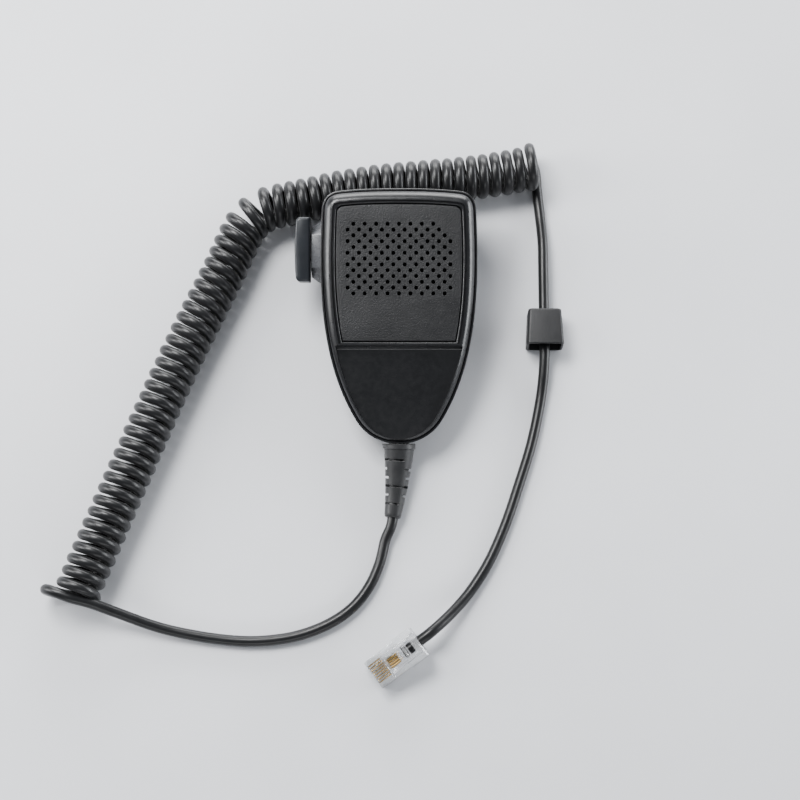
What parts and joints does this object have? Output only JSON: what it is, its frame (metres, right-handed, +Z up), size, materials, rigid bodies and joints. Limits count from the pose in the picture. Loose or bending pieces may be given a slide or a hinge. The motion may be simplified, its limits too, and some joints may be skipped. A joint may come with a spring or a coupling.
{
  "type": "hand microphone",
  "caption": "Push-to-talk hand microphone: tapered two-part case with a drilled grille panel, side bar, hang-up button, and a curly cord with strain relief, sliding boot and clear plug.",
  "frame": {"origin": "middle of the handset's footprint on the surface it lies on, cord left out", "axes": "+Z up; +Y along the surface from the cord end of the handset to its top; +X to the handset's right, away from the push-to-talk bar"},
  "size_m": [0.1978, 0.2118, 0.0359],
  "materials": {
    "case_plastic": "moulded black, satin gloss",
    "panel_plastic": "fine grained black",
    "screen_cloth": "black dust cloth",
    "bar_plastic": "satin dark blue-grey",
    "neck_plastic": "smooth mid grey",
    "button_metal": "turned, satin",
    "steel": "plated",
    "brass_plate": "plain",
    "contact_gold": "gold plated",
    "capsule_can": "satin",
    "board": "green solder mask",
    "chip": "moulded",
    "capacitor_sleeve": "shrink sleeve",
    "header_nylon": "nylon",
    "switch_plastic": "moulded",
    "switch_red": "moulded",
    "wire_red": "insulation",
    "wire_white": "insulation",
    "wire_blue": "insulation",
    "wire_green": "insulation",
    "wire_black": "insulation",
    "wire_ochre": "insulation",
    "soft_rubber": "soft black",
    "cord_jacket": "smooth black jacket",
    "boot_rubber": "semi-matte black",
    "plug_clear": "clear, slightly frosted"
  },
  "bodies": {
    "handset": {"capacitor": "capacitor_sleeve", "capsule_boot": "soft_rubber", "capsule_lead_1": "steel", "capsule_lead_2": "steel", "case_screw_1": "steel", "case_screw_2": "steel", "case_screw_3": "steel", "case_screw_4": "steel", "circuit_board": "board", "clamp_screw_1": "steel", "clamp_screw_2": "steel", "cord_clamp": "steel", "cord_coil": "cord_jacket", "cord_lead": "cord_jacket", "cord_stub": "cord_jacket", "cord_tail": "cord_jacket", "cord_wire_1": "wire_red", "cord_wire_2": "wire_white", "cord_wire_3": "wire_blue", "cord_wire_4": "wire_green", "dust_screen": "screen_cloth", "front_shell": "case_plastic", "grille_panel": "panel_plastic", "hang_up_button": "button_metal", "hang_up_plate": "brass_plate", "hang_up_screw": "steel", "hang_up_wire": "wire_black", "mic_capsule": "capsule_can", "plug_body": "plug_clear", "plug_clamp_bar": "plug_clear", "plug_contact_1": "contact_gold", "plug_contact_2": "contact_gold", "plug_contact_3": "contact_gold", "plug_contact_4": "contact_gold", "plug_contact_5": "contact_gold", "plug_contact_6": "contact_gold", "plug_contact_7": "contact_gold", "plug_contact_8": "contact_gold", "plug_wire_1": "wire_ochre", "plug_wire_2": "wire_ochre", "plug_wire_3": "wire_ochre", "plug_wire_4": "wire_ochre", "preamp_chip": "chip", "ptt_spring_1": "steel", "ptt_spring_2": "steel", "rear_shell": "case_plastic", "spring_plate": "steel", "strain_relief": "soft_rubber", "switch_body": "switch_plastic", "wire_header": "header_nylon"},
    "ptt": {"ptt_bar": "bar_plastic", "ptt_neck": "neck_plastic"},
    "lever": {"switch_lever": "steel"},
    "switch_plunger": {"switch_button": "switch_red"},
    "latch": {"plug_latch": "plug_clear"},
    "boot": {"plug_boot": "boot_rubber"}
  },
  "joints": [
    {"name": "ptt_slide", "type": "slide", "parent": "handset", "child": "ptt", "axis": [1, 0, 0], "range_m": [0, 0.002], "stiffness_N_per_m": 900, "springref_m": -0.002, "deforming": ["ptt_spring_1", "ptt_spring_2"]},
    {"name": "lever_hinge", "type": "hinge", "parent": "handset", "child": "lever", "pos_m": [-0.01245, 0.03104, 0.02255], "axis": [0, -0.2164, 0.9763], "range_deg": [0, 11.4]},
    {"name": "plunger_slide", "type": "slide", "parent": "handset", "child": "switch_plunger", "axis": [1, 0, 0], "range_m": [0, 0.00068]},
    {"name": "latch_hinge", "type": "hinge", "parent": "handset", "child": "latch", "pos_m": [-0.00269, -0.13369, 0.00086], "axis": [0.5948, -0.8039, 0], "range_deg": [0, 4.5], "stiffness_Nm_per_rad": 0.08, "springref_deg": -1.72},
    {"name": "boot_slide", "type": "slide", "parent": "handset", "child": "boot", "axis": [0, 1, 0], "range_m": [-0.008, 0.015]}
  ],
  "couplings": [
    {"joint": "lever_hinge", "follows": "ptt_slide", "rad_per_m": 97.7},
    {"joint": "plunger_slide", "follows": "ptt_slide", "ratio": 0.325}
  ]
}
